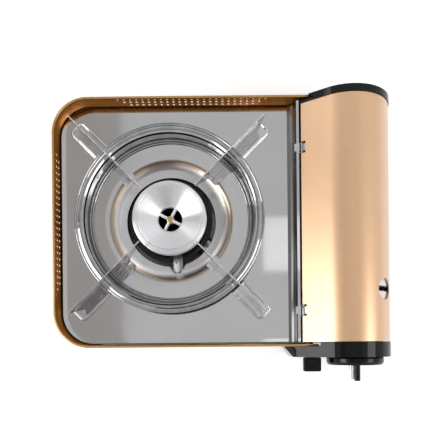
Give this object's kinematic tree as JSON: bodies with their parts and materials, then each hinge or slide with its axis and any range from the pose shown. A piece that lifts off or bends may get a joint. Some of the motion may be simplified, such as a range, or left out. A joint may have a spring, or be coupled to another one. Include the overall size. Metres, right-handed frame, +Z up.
{
  "type": "portable butane stove",
  "caption": "Tabletop butane cassette stove with a round burner, lift-off pan support, hinged cartridge cover, rotary knob and lock lever.",
  "frame": {"origin": "centre of the footprint's box, on the surface that the feet stand on", "axes": "+X to the cartridge side, +Y to the back, away from the knob, +Z up"},
  "size_m": [0.34, 0.285, 0.0855],
  "materials": {
    "gold_paint": "satin metallic",
    "gold_wall": "gloss metallic",
    "mirror_steel": "polished",
    "chrome_steel": "plated",
    "zinc_steel": "zinc plated",
    "turned_aluminium": "turned",
    "cast_aluminium": "as cast",
    "black_gloss": "gloss",
    "black_matt": "matt",
    "black_enamel": "satin heat-proof enamel",
    "silver_inlay": "plated",
    "brass": "machined",
    "rubber": "matt",
    "ceramic": "glazed",
    "white_plastic": "matt"
  },
  "bodies": {
    "stove_body": {"bottom_pan": "zinc_steel", "rubber_feet": "rubber", "foot_screws": "zinc_steel", "body_wall": "gold_wall", "top_plate": "mirror_steel", "heat_partition": "zinc_steel", "lead_grommet": "rubber", "front_cap": "black_gloss", "rear_cap": "black_gloss", "cap_screws": "zinc_steel", "hinge_brackets": "zinc_steel", "hinge_pins": "zinc_steel", "cover_buffers": "rubber", "burner_cup": "black_enamel", "port_ring": "black_enamel", "burner_cap": "turned_aluminium", "burner_screw": "brass", "burner_strap": "zinc_steel", "mixing_tube": "zinc_steel", "air_shutter": "zinc_steel", "gas_jet": "brass", "gas_pipe": "cast_aluminium", "regulator_body": "cast_aluminium", "regulator_cover": "cast_aluminium", "diaphragm": "rubber", "regulator_spring": "zinc_steel", "regulator_bracket": "zinc_steel", "inlet_nozzle": "brass", "inlet_seal": "rubber", "gland_nut": "brass", "igniter_body": "black_matt", "igniter_saddle": "zinc_steel", "spark_lead": "white_plastic", "electrode_ceramic": "ceramic", "electrode_rod": "zinc_steel", "electrode_bracket": "zinc_steel", "yoke_guides": "white_plastic", "cartridge_cradle": "zinc_steel", "heat_panel": "cast_aluminium"},
    "cartridge_cover": {"cover": "gold_paint"},
    "control_knob": {"knob": "black_gloss", "knob_inlay": "silver_inlay", "valve_spindle": "zinc_steel", "ignition_cam": "white_plastic"},
    "needle": {"valve_needle": "brass"},
    "plunger": {"igniter_plunger": "white_plastic"},
    "lever": {"lock_lever": "black_matt", "lever_pin": "zinc_steel"},
    "yoke": {"cartridge_yoke": "zinc_steel"},
    "pan_support": {"pan_ring": "chrome_steel", "pan_arm_1": "chrome_steel", "pan_arm_2": "chrome_steel", "pan_arm_3": "chrome_steel", "pan_arm_4": "chrome_steel"}
  },
  "joints": [
    {"name": "cover_hinge", "type": "hinge", "parent": "stove_body", "child": "cartridge_cover", "pos_m": [0.0803, 0.01, 0.0576], "axis": [0, -1, 0], "range_deg": [0, 80]},
    {"name": "knob_turn", "type": "hinge", "parent": "stove_body", "child": "control_knob", "pos_m": [0.134, -0.1193, 0.045], "axis": [0, -1, 0], "range_deg": [0, 130]},
    {"name": "needle_lift", "type": "slide", "parent": "stove_body", "child": "needle", "axis": [0, -1, 0], "range_m": [0, 0.0016]},
    {"name": "plunger_press", "type": "slide", "parent": "stove_body", "child": "plunger", "axis": [0, 1, 0], "range_m": [0, 0.004], "stiffness_N_per_m": 400},
    {"name": "lever_slide", "type": "slide", "parent": "stove_body", "child": "lever", "axis": [0, 0, -1], "range_m": [0, 0.014]},
    {"name": "yoke_slide", "type": "slide", "parent": "stove_body", "child": "yoke", "axis": [0, -1, 0], "range_m": [0, 0.0045]},
    {"name": "pan_support_lift", "type": "slide", "parent": "stove_body", "child": "pan_support", "axis": [0, 0, 1], "range_m": [0, 0.05]}
  ],
  "couplings": [
    {"joint": "needle_lift", "follows": "knob_turn", "m_per_rad": 0.0007},
    {"joint": "yoke_slide", "follows": "lever_slide", "ratio": 0.32143}
  ]
}
